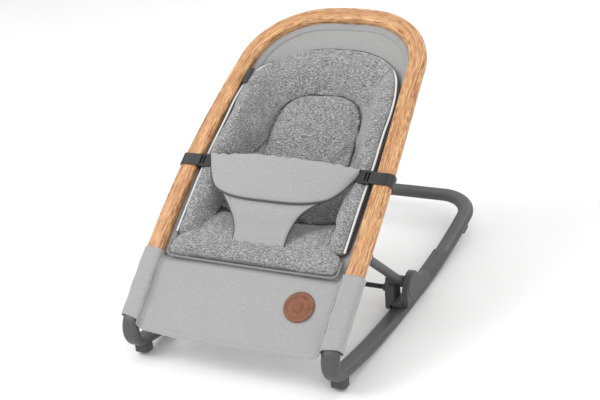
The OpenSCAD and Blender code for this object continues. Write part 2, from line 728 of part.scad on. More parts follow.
base_tube();
front_pad_left();
front_pad_right();
rear_pad_left();
rear_pad_right();
hub_housing_left();
hub_housing_right();
hub_screws();
button_springs();
hook_end_left();
hook_end_right();
pivot_pins();
arch_frame();
arch_socket_left();
arch_socket_right();
strut_bracket_left();
strut_bracket_right();
bracket_pins();
strut_tube_left();
strut_tube_right();
strut_head_left();
strut_head_right();
strut_foot_left();
strut_foot_right();
rail_shoe_left();
rail_shoe_right();
shoe_pins();
cross_rod();
hub_button_left();
hub_button_right();
sling();
skirt();
seat_pad();
back_pad();
headrest_pad();
head_bolster();
side_bolster_left();
side_bolster_right();
belly_band();
crotch_strap();
strap_loop_left();
strap_loop_right();
buckle_left();
buckle_right();
tongue_left();
tongue_right();
badge();
side_tag();
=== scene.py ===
import json
import math

import bpy
import numpy as np
from mathutils import Matrix, Vector

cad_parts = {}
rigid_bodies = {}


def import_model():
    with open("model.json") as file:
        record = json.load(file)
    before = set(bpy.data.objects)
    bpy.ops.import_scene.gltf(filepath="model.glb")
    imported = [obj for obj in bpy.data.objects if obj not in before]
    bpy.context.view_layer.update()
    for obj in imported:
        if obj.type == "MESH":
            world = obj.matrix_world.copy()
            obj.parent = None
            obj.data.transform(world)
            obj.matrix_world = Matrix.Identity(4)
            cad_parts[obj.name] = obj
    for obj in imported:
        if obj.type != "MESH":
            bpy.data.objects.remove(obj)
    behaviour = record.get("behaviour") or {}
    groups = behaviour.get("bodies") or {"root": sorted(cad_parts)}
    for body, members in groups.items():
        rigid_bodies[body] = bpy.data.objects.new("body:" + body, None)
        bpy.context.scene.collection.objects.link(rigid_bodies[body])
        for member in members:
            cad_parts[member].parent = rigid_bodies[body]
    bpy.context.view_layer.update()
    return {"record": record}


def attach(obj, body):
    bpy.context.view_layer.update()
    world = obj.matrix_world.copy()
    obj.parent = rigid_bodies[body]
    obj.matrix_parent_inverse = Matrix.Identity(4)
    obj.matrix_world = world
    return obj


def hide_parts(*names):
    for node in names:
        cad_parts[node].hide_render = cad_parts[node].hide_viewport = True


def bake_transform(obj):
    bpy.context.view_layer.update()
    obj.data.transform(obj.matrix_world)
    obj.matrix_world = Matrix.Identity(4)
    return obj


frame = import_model()

# ---------------------------------------------------------------- the seat's own coordinates
# A place on the seat is (x, v, w), in metres: x across, v up the arch's curve from the front
# pivots, and w out of the arch's surface towards the child.

JOINTS = frame["record"]["behaviour"]["joints"]
PIVOT = Vector(next(j["pos_m"] for j in JOINTS if j["name"] == "seat_fold"))
# The arch from the side: its slope at the pivots, and the radius of its curve
SLOPE = math.radians(40.6)
ARCH_R = 2.817
# Its middle line from the front: two sides, a shoulder arc at the top of each, and a crown arc
RAIL_HALF = 0.197
SHOULDER_V, SHOULDER_R = 0.5578, 0.145
CROWN_R, ARCH_TOP = 0.416, 0.705
CROWN_V = ARCH_TOP - CROWN_R
SHOULDER_X = math.sqrt((CROWN_R - SHOULDER_R) ** 2 - (SHOULDER_V - CROWN_V) ** 2)
CROWN_ANG = math.atan2(SHOULDER_V - CROWN_V, SHOULDER_X)
# The wood's width and thickness, and how far in from its middle line the sling shows
ARCH_W, ARCH_T = 0.034, 0.019
SLING_INSET = ARCH_W / 2 - 0.0003


def seat(x, v, w=0.0):
    """The point at (x, v, w), or an array of them."""
    x, v, w = np.broadcast_arrays(x, v, w)
    a = SLOPE - v / ARCH_R
    y = PIVOT.y + ARCH_R * (math.sin(SLOPE) - np.sin(a)) - w * np.sin(a)
    z = PIVOT.z + ARCH_R * (np.cos(a) - math.cos(SLOPE)) + w * np.cos(a)
    return np.stack([x, y, z], axis=-1)


def climb(value, start, length):
    """0 up to start, then a straight climb to 1 over the length."""
    return np.clip((value - start) / length, 0, 1)


def ease(t):
    """Softens both ends of a climb from 0 to 1."""
    return t * t * (3 - 2 * t)


def flank(v):
    """Half the distance between the arch's sides at v, from middle line to middle line."""
    return RAIL_HALF - 0.031 * v + 0.0095 * np.sin(math.pi * v / SHOULDER_V)


def circle_half(v, centre, r):
    return np.sqrt(np.maximum(0, r * r - (v - centre) ** 2))


def inner_half(v, inset=SLING_INSET):
    """Half the width between the arch's sides at v, less an inset on each side."""
    curved = np.minimum(
        SHOULDER_X + circle_half(v, SHOULDER_V, SHOULDER_R - inset), circle_half(v, CROWN_V, CROWN_R - inset)
    )
    return np.where(v < SHOULDER_V, flank(v) - inset, curved)


# How deep the sling hangs, by v
DEPTH_V = [0.105, 0.155, 0.200, 0.240, 0.300, 0.400, 0.500, 0.600, 0.690]
DEPTH = [0.008, 0.025, 0.052, 0.076, 0.084, 0.074, 0.056, 0.034, 0.008]


def depth(v):
    """How deep the sling hangs down its middle: straight runs, softened where they meet."""
    return sum(np.interp(v + d, DEPTH_V, DEPTH) for d in (-0.012, -0.006, 0.0, 0.006, 0.012)) / 5


def trough(x, v):
    """The sling's surface: w at (x, v)."""
    side = np.minimum(1, np.abs(x) / np.maximum(0.02, inner_half(v)))
    return -0.006 - (depth(v) - 0.006) * (1 - side**2.6)


# Height of the pads' undersides above the sling's surface
PAD_LIFT = 0.004


def outline(inset, v0, n):
    """Points (x, v) round the inside of the arch, from v0 on the right over the crown to v0 on the left."""
    v = v0 + (SHOULDER_V - v0) * np.linspace(0, 1, n // 2, endpoint=False)
    a = np.linspace(0, CROWN_ANG, n // 3, endpoint=False)
    b = np.linspace(CROWN_ANG, math.pi / 2, n // 4)
    x = np.concatenate([
        flank(v) - inset,
        SHOULDER_X + (SHOULDER_R - inset) * np.cos(a),
        (CROWN_R - inset) * np.cos(b),
    ])
    y = np.concatenate([
        v,
        SHOULDER_V + (SHOULDER_R - inset) * np.sin(a),
        CROWN_V + (CROWN_R - inset) * np.sin(b),
    ])
    return np.concatenate([x, -x[-2::-1]]), np.concatenate([y, y[-2::-1]])


# ---------------------------------------------------------------- mesh helpers


def new_mesh(name, points, faces, uv=None):
    mesh = bpy.data.meshes.new(name)
    mesh.from_pydata([tuple(p) for p in points], [], faces)
    mesh.update()
    if uv is not None:
        layer = mesh.uv_layers.new(name="UVMap")
        index = np.zeros(len(mesh.loops), np.int32)
        mesh.loops.foreach_get("vertex_index", index)
        layer.data.foreach_set("uv", np.asarray(uv, np.float32)[index].ravel())
    mesh.polygons.foreach_set("use_smooth", [True] * len(mesh.polygons))
    piece = bpy.data.objects.new(name, mesh)
    bpy.context.scene.collection.objects.link(piece)
    return piece


def grid_faces(n, m, wrap=False, start=0, flip=False):
    faces = []
    for i in range(n - 1):
        for j in range(m if wrap else m - 1):
            k = (j + 1) % m
            f = [start + i * m + j, start + i * m + k, start + (i + 1) * m + k, start + (i + 1) * m + j]
            faces.append(f[::-1] if flip else f)
    return faces


def sheet_mesh(name, points, uv):
    """An open grid of points, n by m."""
    n, m = points.shape[:2]
    return new_mesh(name, points.reshape(-1, 3), grid_faces(n, m), uv.reshape(-1, 2))


def lengths(points):
    """Length along a row of points, from 0."""
    return np.concatenate([[0], np.cumsum(np.linalg.norm(np.diff(points, axis=0), axis=1))])


def grid_uv(points):
    """UV in metres, from the lengths along the grid's two middle lines."""
    n, m = points.shape[:2]
    u, v = lengths(points[n // 2]), lengths(points[:, m // 2])
    return np.stack(np.broadcast_arrays(u[None, :], v[:, None]), axis=-1)


def solid_cushion(name, spot, low, high, n, m):
    """A closed cushion over a grid: spot(a, b) gives (x, v), and low and high give w."""
    a, b = np.meshgrid(np.linspace(0, 1, n), np.linspace(0, 1, m), indexing="ij")
    x, v = spot(a, b)
    under, over = seat(x, v, low(a, b, x, v)), seat(x, v, high(a, b, x, v))
    count = n * m
    rim = [(0, j) for j in range(m)] + [(i, m - 1) for i in range(1, n)]
    rim += [(n - 1, j) for j in range(m - 2, -1, -1)] + [(i, 0) for i in range(n - 2, 0, -1)]
    ids = [i * m + j for i, j in rim]
    faces = grid_faces(n, m) + grid_faces(n, m, start=count, flip=True)
    faces += [[ids[k - 1], ids[k], ids[k] + count, ids[k - 1] + count] for k in range(len(ids))]
    points = np.concatenate([under.reshape(-1, 3), over.reshape(-1, 3)])
    uv = grid_uv(over).reshape(-1, 2)
    piece = new_mesh(name, points, faces, np.concatenate([uv, uv]))
    mesh_outwards(piece)
    return piece


def mesh_outwards(piece):
    bpy.context.view_layer.objects.active = piece
    bpy.ops.object.select_all(action="DESELECT")
    piece.select_set(True)
    bpy.ops.object.mode_set(mode="EDIT")
    bpy.ops.mesh.select_all(action="SELECT")
    bpy.ops.mesh.normals_make_consistent(inside=False)
    bpy.ops.object.mode_set(mode="OBJECT")


def apply_modifier(piece, kind, **values):
    m = piece.modifiers.new(kind.title(), kind)
    for key, value in values.items():
        setattr(m, key, value)
    with bpy.context.temp_override(object=piece, active_object=piece, selected_objects=[piece]):
        bpy.ops.object.modifier_apply(modifier=m.name)


def positions(mesh):
    co = np.zeros(len(mesh.vertices) * 3, np.float32)
    mesh.vertices.foreach_get("co", co)
    return co.reshape(-1, 3).astype(float)


PUFF_VOXEL, PUFF_PRESSURE, PUFF_FRAMES = 0.005, 4.0, 20


def puff(piece, held, cap):
    """Blows a cushion up as cloth under pressure, by no more than the cap.

    held(points) is a mask of the points that stay put.
    """
    apply_modifier(piece, "REMESH", mode="VOXEL", voxel_size=PUFF_VOXEL, use_smooth_shade=True)
    rest = positions(piece.data)
    group = piece.vertex_groups.new(name="held")
    group.add([int(i) for i in np.nonzero(held(rest))[0]], 1.0, "REPLACE")
    cloth = piece.modifiers.new("Cloth", "CLOTH")
    cloth.settings.use_pressure = True
    cloth.settings.uniform_pressure_force = PUFF_PRESSURE
    cloth.settings.effector_weights.gravity = 0
    cloth.settings.quality = 4
    cloth.settings.shrink_min = -0.05
    cloth.settings.vertex_group_mass = "held"
    cloth.point_cache.frame_start = 1
    cloth.point_cache.frame_end = PUFF_FRAMES
    for f in range(1, PUFF_FRAMES + 1):
        bpy.context.scene.frame_set(f)
    blown = positions(piece.evaluated_get(bpy.context.evaluated_depsgraph_get()).data)
    piece.modifiers.remove(cloth)
    piece.vertex_groups.clear()
    bpy.context.scene.frame_set(1)
    move = blown - rest
    far = np.linalg.norm(move, axis=1, keepdims=True)
    rest = rest + move * np.minimum(1, cap / np.maximum(far, 1e-9))
    piece.data.vertices.foreach_set("co", rest.astype(np.float32).ravel())
    apply_modifier(piece, "SMOOTH", factor=0.5, iterations=4)
    apply_modifier(piece, "SUBSURF", levels=1)
    piece.data.polygons.foreach_set("use_smooth", [True] * len(piece.data.polygons))


def sweep(name, centres, normals, section):
    """Sweeps a section (along the normal, across) down a row of centres. UV runs round it, then along it."""
    centres, normals = np.asarray(centres, float), np.asarray(normals, float)
    along = np.gradient(centres, axis=0)
    along /= np.linalg.norm(along, axis=1, keepdims=True)
    normals = normals - along * (normals * along).sum(1, keepdims=True)
    normals /= np.linalg.norm(normals, axis=1, keepdims=True)
    across = np.cross(along, normals)
    n, m = len(centres), len(section)
    section = np.asarray(section, float)
    high, wide = section[None, :, :1], section[None, :, 1:]
    points = centres[:, None] + high * normals[:, None] + wide * across[:, None]
    u = lengths(np.concatenate([section, section[:1]]))[:m]
    uv = np.stack(np.broadcast_arrays(u[None], lengths(centres)[:, None]), axis=-1)
    faces = grid_faces(n, m, wrap=True)
    faces += [list(range(m))[::-1], [(n - 1) * m + j for j in range(m)]]
    piece = new_mesh(name, points.reshape(-1, 3), faces, uv.reshape(-1, 2))
    mesh_outwards(piece)
    return piece


def round_section(r, n=10):
    return [(r * math.cos(2 * math.pi * k / n), r * math.sin(2 * math.pi * k / n)) for k in range(n)]


def box_section(h, w, r, n=5):
    """A rounded box, h along the normal and w across."""
    out = []
    for q, (sy, sx) in enumerate(((1, 1), (-1, 1), (-1, -1), (1, -1))):
        for k in range(n):
            a = math.pi / 2 * (q + k / (n - 1))
            out.append((sy * (h / 2 - r) + r * math.cos(a), sx * (w / 2 - r) + r * math.sin(a)))
    return out


def seat_up(v):
    """Unit normals of the arch's surface."""
    a = SLOPE - np.asarray(v) / ARCH_R
    return np.stack([np.zeros_like(a), -np.sin(a), np.cos(a)], axis=-1)


def cord_on_seat(name, x, v, w, r):
    """A piping or thread that follows (x, v, w)."""
    return sweep(name, seat(x, v, w), seat_up(v), round_section(r))


def resample(points, step):
    along = lengths(points)
    at = np.arange(step / 2, along[-1], step)
    return np.stack([np.interp(at, along, points[:, k]) for k in range(3)], axis=1)


def stitches(name, points, step=0.0042, r=0.00045, share=0.62):
    """A row of thread stitches along the points."""
    mid = resample(np.asarray(points, float), step)
    along = np.gradient(mid, axis=0)
    along /= np.linalg.norm(along, axis=1, keepdims=True)
    side = np.cross(along, [0.31, 0.2, 0.93])
    side /= np.linalg.norm(side, axis=1, keepdims=True)
    up = np.cross(side, along)
    half = step * share / 2
    rings = []
    for t, k in ((-1, 0.35), (-0.7, 1), (0.7, 1), (1, 0.35)):
        for j in range(6):
            a = math.pi / 3 * j
            rings.append(mid + t * half * along + k * r * (math.cos(a) * side + math.sin(a) * up))
    points = np.stack(rings, axis=1).reshape(-1, 3)
    faces = []
    for s in range(len(mid)):
        faces += grid_faces(4, 6, wrap=True, start=24 * s)
        faces += [[24 * s + j for j in range(5, -1, -1)], [24 * s + 18 + j for j in range(6)]]
    return new_mesh(name, points, faces)


# ---------------------------------------------------------------- materials


class Look:
    """A material on one Principled shader, with short ways to add texture nodes."""

    def __init__(self, name, **sockets):
        self.mat = bpy.data.materials.new(name)
        self.mat.use_nodes = True
        self.tree = self.mat.node_tree
        self.shader = self.tree.nodes["Principled BSDF"]
        for key, value in sockets.items():
            self.shader.inputs[key.replace("_", " ")].default_value = value
        self.coords = self.tree.nodes.new("ShaderNodeTexCoord")

    def link(self, a, b):
        self.tree.links.new(a, b)

    def node(self, kind, **values):
        n = self.tree.nodes.new("ShaderNode" + kind)
        for key, value in values.items():
            if hasattr(n, key):
                setattr(n, key, value)
            else:
                socket = n.inputs[key.replace("_", " ")]
                if isinstance(value, bpy.types.NodeSocket):
                    self.link(value, socket)
                else:
                    socket.default_value = value
        return n

    def mapped(self, space="Object", scale=(1, 1, 1), turn=0.0):
        m = self.node("Mapping")
        self.link(self.coords.outputs[space], m.inputs["Vector"])
        m.inputs["Scale"].default_value = scale
        m.inputs["Rotation"].default_value = (0, 0, turn)
        return m.outputs["Vector"]

    def noise(self, where, scale, detail=3.0, rough=0.55):
        return self.node("TexNoise", Vector=where, Scale=scale, Detail=detail, Roughness=rough).outputs["Fac"]

    def bands(self, where, scale, direction="X"):
        n = self.node("TexWave", bands_direction=direction, Vector=where, Scale=scale)
        return n.outputs["Fac"]

    def math(self, op, a, b=0.0):
        n = self.node("Math", operation=op)
        for socket, value in zip(n.inputs, (a, b)):
            if isinstance(value, bpy.types.NodeSocket):
                self.link(value, socket)
            else:
                socket.default_value = value
        return n.outputs[0]

    def ramp(self, fac, stops):
        n = self.node("ValToRGB")
        self.link(fac, n.inputs["Fac"])
        ramp = n.color_ramp
        while len(ramp.elements) < len(stops):
            ramp.elements.new(0.5)
        for element, (at, color) in zip(ramp.elements, stops):
            element.position = at
            element.color = (*color, 1)
        return n.outputs["Color"]

    def color(self, socket):
        self.link(socket, self.shader.inputs["Base Color"])

    def rough(self, socket, low, high):
        n = self.node("MapRange")
        self.link(socket, n.inputs["Value"])
        n.inputs["To Min"].default_value = low
        n.inputs["To Max"].default_value = high
        self.link(n.outputs["Result"], self.shader.inputs["Roughness"])

    def bump(self, height, distance, strength=1.0):
        n = self.node("Bump", Strength=strength, Distance=distance)
        self.link(height, n.inputs["Height"])
        last = self.shader.inputs["Normal"]
        if last.is_linked:
            self.link(last.links[0].from_socket, n.inputs["Normal"])
        self.link(n.outputs["Normal"], last)


def gray(v, warm=0.0):
    return (v * (1 + warm), v, v * (1 - warm))


def cloth_look():
    """Smooth light-grey plain weave, with a faint melange."""
    k = Look("light_cloth", Roughness=0.9, Sheen_Weight=0.25, Sheen_Roughness=0.5, Specular_IOR_Level=0.25)
    where = k.mapped("UV")
    weave = k.math("MULTIPLY", k.bands(where, 290, "X"), k.bands(where, 290, "Y"))
    slub = k.noise(k.mapped("UV", (1, 6, 1)), 420, 2)
    slub_across = k.noise(k.mapped("UV", (6, 1, 1)), 420, 2)
    mottle = k.math("ADD", k.math("MULTIPLY", slub, 0.4), k.math("MULTIPLY", slub_across, 0.4))
    mottle = k.math("ADD", mottle, k.math("MULTIPLY", k.noise(k.mapped("Object"), 330, 3, 0.7), 0.35))
    shade = k.math("ADD", k.math("MULTIPLY", mottle, 0.75), k.math("MULTIPLY", weave, 0.22))
    k.color(k.ramp(shade, [(0.30, gray(0.225)), (0.5, gray(0.345)), (0.70, gray(0.48))]))
    k.bump(weave, 0.0002, 0.5)
    k.bump(k.noise(k.mapped("Object"), 38, 3), 0.0012, 0.35)
    return k.mat


def heather_look():
    """Soft melange knit: short light and dark flecks."""
    k = Look("heather_cloth", Roughness=0.95, Sheen_Weight=0.35, Sheen_Roughness=0.6, Specular_IOR_Level=0.2)
    flecks = k.noise(k.mapped("Object", (1.0, 2.6, 2.6), 0.7), 190, 4, 0.66)
    fine = k.noise(k.mapped("Object", (2.2, 1.0, 1.0), -0.5), 430, 3, 0.6)
    shade = k.math("ADD", k.math("MULTIPLY", flecks, 0.6), k.math("MULTIPLY", fine, 0.4))
    k.color(k.ramp(shade, [
        (0.39, gray(0.050)), (0.46, gray(0.150)), (0.54, gray(0.290)), (0.63, gray(0.56)),
    ]))
    k.bump(fine, 0.0006, 0.6)
    k.bump(k.noise(k.mapped("Object"), 45, 3), 0.002, 0.35)
    return k.mat


def oak_look():
    """Lacquered bent oak: UV runs round the section and along the arch."""
    k = Look("oak", Roughness=0.42, Coat_Weight=0.12, Coat_Roughness=0.3)
    broad = k.noise(k.mapped("UV", (26, 2.6, 1)), 3.2, 5, 0.6)
    wobble = k.node("TexNoise", Vector=k.mapped("UV", (9, 2.0, 1)), Scale=2.2, Detail=2.0).outputs["Fac"]
    rings = k.node("TexWave", bands_direction="X", wave_profile="SAW", Vector=k.mapped("UV", (1, 0.07, 1)),
                   Scale=34, Distortion=9.0, Detail=4.0)
    rings.inputs["Detail Scale"].default_value = 1.6
    rings = rings.outputs["Fac"]
    streaks = k.noise(k.mapped("UV", (230, 22, 1)), 1.0, 4, 0.7)
    pores = k.noise(k.mapped("UV", (1000, 60, 1)), 1.0, 3, 0.65)
    tone = k.math("ADD", k.math("MULTIPLY", broad, 0.50), k.math("MULTIPLY", rings, 0.13))
    tone = k.math("ADD", tone, k.math("MULTIPLY", wobble, 0.35))
    tone = k.math("ADD", tone, k.math("MULTIPLY", k.math("SUBTRACT", streaks, 0.5), 1.6))
    tone = k.math("ADD", tone, k.math("MULTIPLY", k.math("SUBTRACT", pores, 0.5), 1.7))
    k.color(k.ramp(tone, [
        (0.22, (0.215, 0.080, 0.028)), (0.40, (0.425, 0.190, 0.070)),
        (0.53, (0.570, 0.290, 0.118)), (0.72, (0.730, 0.450, 0.235)),
    ]))
    k.rough(pores, 0.36, 0.55)
    k.bump(pores, 0.0002, 0.5)
    return k.mat


def plastic_look(name, value, rough, grain=1600):
    """Moulded plastic with a fine spark-eroded grain, slightly uneven in tone and polish."""
    k = Look(name, Roughness=rough, Specular_IOR_Level=0.45)
    fine = k.noise(k.mapped("Object"), grain, 2)
    broad = k.noise(k.mapped("Object"), 22, 3)
    k.color(k.ramp(broad, [(0.3, gray(value * 0.88)), (0.7, gray(value * 1.12))]))
    k.rough(broad, rough - 0.06, rough + 0.08)
    k.bump(fine, 0.00012, 0.45)
    return k.mat


def tube_look():
    """Powder-coated graphite tube with a fine orange peel."""
    k = Look("graphite_tube", Roughness=0.42, Metallic=0.35, Specular_IOR_Level=0.5)
    peel = k.noise(k.mapped("Object"), 900, 2)
    broad = k.noise(k.mapped("Object"), 9, 4)
    k.color(k.ramp(broad, [(0.3, gray(0.070, -0.01)), (0.7, gray(0.096, -0.01))]))
    k.rough(broad, 0.36, 0.5)
    k.bump(peel, 0.00015, 0.4)
    return k.mat


def steel_look():
    k = Look("steel", Roughness=0.3, Metallic=1.0)
    lines = k.noise(k.mapped("Object", (1, 14, 14)), 260, 2)
    k.color(k.ramp(lines, [(0.3, gray(0.42)), (0.7, gray(0.6))]))
    k.rough(lines, 0.24, 0.42)
    return k.mat


def webbing_look():
    """Black polyester webbing: ribs with a slanted twill over them."""
    k = Look("webbing", Roughness=0.7, Sheen_Weight=0.15, Specular_IOR_Level=0.35)
    where = k.mapped("UV")
    ribs = k.bands(where, 175, "X")
    twill = k.bands(k.mapped("UV", (1, 1, 1), 0.8), 260, "Y")
    shade = k.math("ADD", k.math("MULTIPLY", ribs, 0.5), k.math("MULTIPLY", twill, 0.5))
    k.color(k.ramp(shade, [(0.2, gray(0.014)), (0.8, gray(0.05))]))
    k.bump(shade, 0.0003, 0.7)
    return k.mat


def thread_look(name, value):
    """Twisted thread and piping cloth."""
    k = Look(name, Roughness=0.75, Sheen_Weight=0.2)
    twist = k.bands(k.mapped("Object", (1, 1, 1), 0.6), 190, "DIAGONAL")
    k.color(k.ramp(twist, [(0.1, gray(value * 0.8)), (0.9, gray(value * 1.1))]))
    k.bump(twist, 0.0002, 0.5)
    return k.mat


def leather_look():
    k = Look("brown_leather", Roughness=0.55, Specular_IOR_Level=0.4)
    grain = k.node("TexVoronoi", Vector=k.mapped("Object"), Scale=900.0).outputs["Distance"]
    broad = k.noise(k.mapped("Object"), 70, 4)
    k.color(k.ramp(broad, [(0.3, (0.15, 0.052, 0.022)), (0.7, (0.24, 0.092, 0.043))]))
    k.rough(broad, 0.46, 0.66)
    k.bump(grain, 0.0002, 0.5)
    return k.mat


LOOKS = {
    "light_cloth": cloth_look(),
    "heather_cloth": heather_look(),
    "oak": oak_look(),
    "graphite_tube": tube_look(),
    "graphite_plastic": plastic_look("graphite_plastic", 0.072, 0.5),
    "dark_plastic": plastic_look("dark_plastic", 0.045, 0.5),
    "black_plastic": plastic_look("black_plastic", 0.018, 0.4),
    "rubber": plastic_look("rubber", 0.062, 0.7, 700),
    "black_rod": plastic_look("black_rod", 0.02, 0.32, 900),
    "steel": steel_look(),
    "webbing": webbing_look(),
    "brown_leather": leather_look(),
}
WHITE_THREAD = thread_look("white_piping", 0.72)
GRAY_THREAD = thread_look("gray_thread", 0.42)
DARK_THREAD = thread_look("dark_piping", 0.055)


def finish(piece, slot, body="seat", look=None):
    """Gives a piece its look, the slot's look unless one is given, and attaches it to its body unless body is
    None.
    """
    piece.data.materials.clear()
    piece.data.materials.append(look or LOOKS[slot])
    if body:
        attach(piece, body)
    return piece


# ---------------------------------------------------------------- CAD nodes that stay

# Painted shade: the hub screws are coloured near-black to stand in for the dark holes they sit in.
SCREW_HOLE_SHADE = plastic_look("screw_hole_shade", 0.02, 0.35, 900)

for part in frame["record"]["subparts"]:
    node = bpy.data.objects[part["node"]]
    node.data.materials.clear()
    node.data.materials.append(SCREW_HOLE_SHADE if part["node"] == "hub_screws" else LOOKS[part["material_slot"]])


# ---------------------------------------------------------------- wood arch


def arch_frame():
    x, v = outline(0.0, 0.014, 220)
    centres = seat(x, v)
    piece = sweep("arch", centres, seat_up(v), box_section(ARCH_T, ARCH_W, 0.0068, 7))
    finish(piece, "oak")
    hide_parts("arch_frame")


# ---------------------------------------------------------------- base tube

# The tube's section, the hooks, the rockers with the level run between s values, and the rear corners
TUBE_W, TUBE_H = 0.033, 0.019
HOOK_R, HOOK_STOP = 0.033, 0.015
ROCKER_R, FLAT_FRONT, FLAT_REAR = 1.6, 0.262, 0.350
CORNER_R, CORNER_START = 0.070, 0.662


def base_tube():
    """Flat oval tube: a hook under each pivot, a rocker along each side and a loop at the back."""
    slope = np.array([math.cos(SLOPE), math.sin(SLOPE)])
    across = np.array([slope[1], -slope[0]])
    arc_z = TUBE_H / 2 + ROCKER_R
    rear = math.asin((CORNER_START - FLAT_REAR) / ROCKER_R)
    # The hook's circle touches the arch's line and the front rocker arc
    start = np.array([0, PIVOT.z]) + HOOK_R * across
    off = start - [FLAT_FRONT, arc_z]
    b, c = off @ slope, off @ off - (ROCKER_R - HOOK_R) ** 2
    hook = start + (-b - math.sqrt(b * b - c)) * slope
    front = math.asin((FLAT_FRONT - hook[0]) / (ROCKER_R - HOOK_R))
    down = 1.5 * math.pi

    def arc(centre, r, a0, a1, n):
        a = np.linspace(a0, a1, n)
        s, z = centre[0] + r * np.cos(a), centre[1] + r * np.sin(a)
        return np.stack([RAIL_HALF + 0 * a, PIVOT.y + s, z], 1), np.stack([0 * a, -np.cos(a), -np.sin(a)], 1)

    end = -HOOK_STOP * slope
    a = np.linspace(0, math.pi / 2, 20)[1:]
    corner = np.stack([
        RAIL_HALF - CORNER_R + CORNER_R * np.cos(a),
        PIVOT.y + CORNER_START + CORNER_R * np.sin(a) * math.cos(rear),
        arc_z - ROCKER_R * math.cos(rear) + CORNER_R * np.sin(a) * math.sin(rear),
    ], 1)
    runs = [
        ([[RAIL_HALF, PIVOT.y + end[0], PIVOT.z + end[1]]], [[0, slope[1], -slope[0]]]),
        arc(hook, HOOK_R, math.pi / 2 + SLOPE, down - front, 40),
        tuple(k[1:] for k in arc((FLAT_FRONT, arc_z), ROCKER_R, down - front, down, 30)),
        arc((FLAT_REAR, arc_z), ROCKER_R, down, down + rear, 30),
        (corner, np.tile([0, -math.sin(rear), math.cos(rear)], (len(a), 1))),
    ]
    points, up = (np.concatenate([run[k] for run in runs]) for k in (0, 1))
    mirror = np.array([-1, 1, 1])
    points, up = (np.concatenate([k, k[::-1] * mirror]) for k in (points, up))
    half = [(TUBE_H / 2 * math.sin(t), TUBE_W / 2 - TUBE_H / 2 + TUBE_H / 2 * math.cos(t))
            for t in np.linspace(-math.pi / 2, math.pi / 2, 17)]
    piece = sweep("tube", points, up, half + [(-h, -w) for h, w in half])
    finish(piece, "graphite_tube", body="base")
    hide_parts("base_tube")


# ---------------------------------------------------------------- sling


SLING_FOOT = 0.105
# The cloth's edge, hidden under the wood: how far in from the arch's middle line it lies
TUCK = 0.0135
# Across the border, from under the wood to its inner edge: inset, and height over the sling
BORDER = [
    (TUCK, -0.0008), (0.0172, 0.0016), (0.0185, 0.0022), (0.0270, 0.0021), (0.0286, 0.0010), (0.0288, 0.0002),
]
BORDER_FOOT, BORDER_LOWEST = 0.112, -0.012
STITCH_INSETS = (0.0205, 0.0255)


def border_row(inset, v0, lift):
    """Points along the border. It follows the sling down only so far."""
    x, v = outline(inset, v0, 200)
    return seat(x, v, np.maximum(trough(x, v), BORDER_LOWEST) + lift)


def sling():
    v = SLING_FOOT + (ARCH_TOP - TUCK - 0.0002 - SLING_FOOT) * (1 - (1 - np.linspace(0, 1, 90)) ** 1.7)
    half = np.maximum(0.008, inner_half(v, TUCK))
    x = half[:, None] * np.linspace(-1, 1, 61)[None]
    v = v[:, None] + 0 * x
    points = seat(x, v, trough(x, v) - 0.0006)
    piece = sheet_mesh("sling_cloth", points, grid_uv(points))
    apply_modifier(piece, "SOLIDIFY", thickness=0.0014, offset=-1)
    finish(piece, "light_cloth")
    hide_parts("sling")

    # Folded border along the arch, with its two rows of stitches
    border = np.stack([border_row(inset, BORDER_FOOT, lift) for inset, lift in BORDER], axis=1)
    piece = sheet_mesh("sling_border", border, grid_uv(border))
    finish(piece, "light_cloth")
    for k, inset in enumerate(STITCH_INSETS):
        thread = stitches(f"sling_stitches_{k}", border_row(inset, BORDER_FOOT + 0.002, 0.0025))
        finish(thread, "light_cloth", look=GRAY_THREAD)


# ---------------------------------------------------------------- pads


def crown(a, b, p=4.0, q=0.42):
    """1 over the middle of a pad, falling to 0 at its four edges."""
    return np.maximum(0, (1 - np.abs(2 * a - 1) ** p) * (1 - np.abs(2 * b - 1) ** p)) ** q


def pad_base(x, v):
    """The underside of the pads: on the sling, and up to the arch's surface along both sides."""
    side = ease(climb(np.abs(x), 0.112, 0.054))
    low = trough(x, v) + PAD_LIFT
    return low + np.maximum(0, -0.0035 - low) * side


def to_seat(points):
    """(x, v, w) of points given in the object's frame: the inverse of seat()."""
    dy = points[:, 1] - PIVOT.y - ARCH_R * math.sin(SLOPE)
    dz = points[:, 2] - PIVOT.z + ARCH_R * math.cos(SLOPE)
    return points[:, 0], (SLOPE - np.arctan2(-dy, dz)) * ARCH_R, np.hypot(dy, dz) - ARCH_R


def crease(piece, start, end, deep=0.0030, wide=0.0035):
    """Presses a short pucker into a pad's top, from a seam outwards, fading away along its length."""
    points = positions(piece.data)
    x, v, w = to_seat(points)
    run = np.subtract(end, start)
    t = np.clip(((x - start[0]) * run[0] + (v - start[1]) * run[1]) / (run @ run), 0, 1)
    far = np.hypot(x - start[0] - t * run[0], v - start[1] - t * run[1])
    top = w > pad_base(x, v) + 0.006
    press = deep * (1 - 0.8 * t) * np.exp(-((far / wide) ** 2)) * top
    points -= press[:, None] * seat_up(v)
    piece.data.vertices.foreach_set("co", points.astype(np.float32).ravel())


def lowest(height):
    """Mask of a cushion's points below a height over its underside, which stay put when it is blown up."""

    def held(points):
        x, v, w = to_seat(points)
        return w < pad_base(x, v) + height

    return held


PIPING_R = 0.0021
# Half widths of the pads' base cloth and of the seat pad, by v
LINING_V = [0.130, 0.450, 0.520, 0.580, 0.600]
LINING_HALF = [0.150, 0.150, 0.138, 0.095, 0.060]
SEAT_V = [0.106, 0.112, 0.120, 0.145, 0.170, 0.232]
SEAT_HALF = [0.160, 0.168, 0.171, 0.167, 0.135, 0.122]


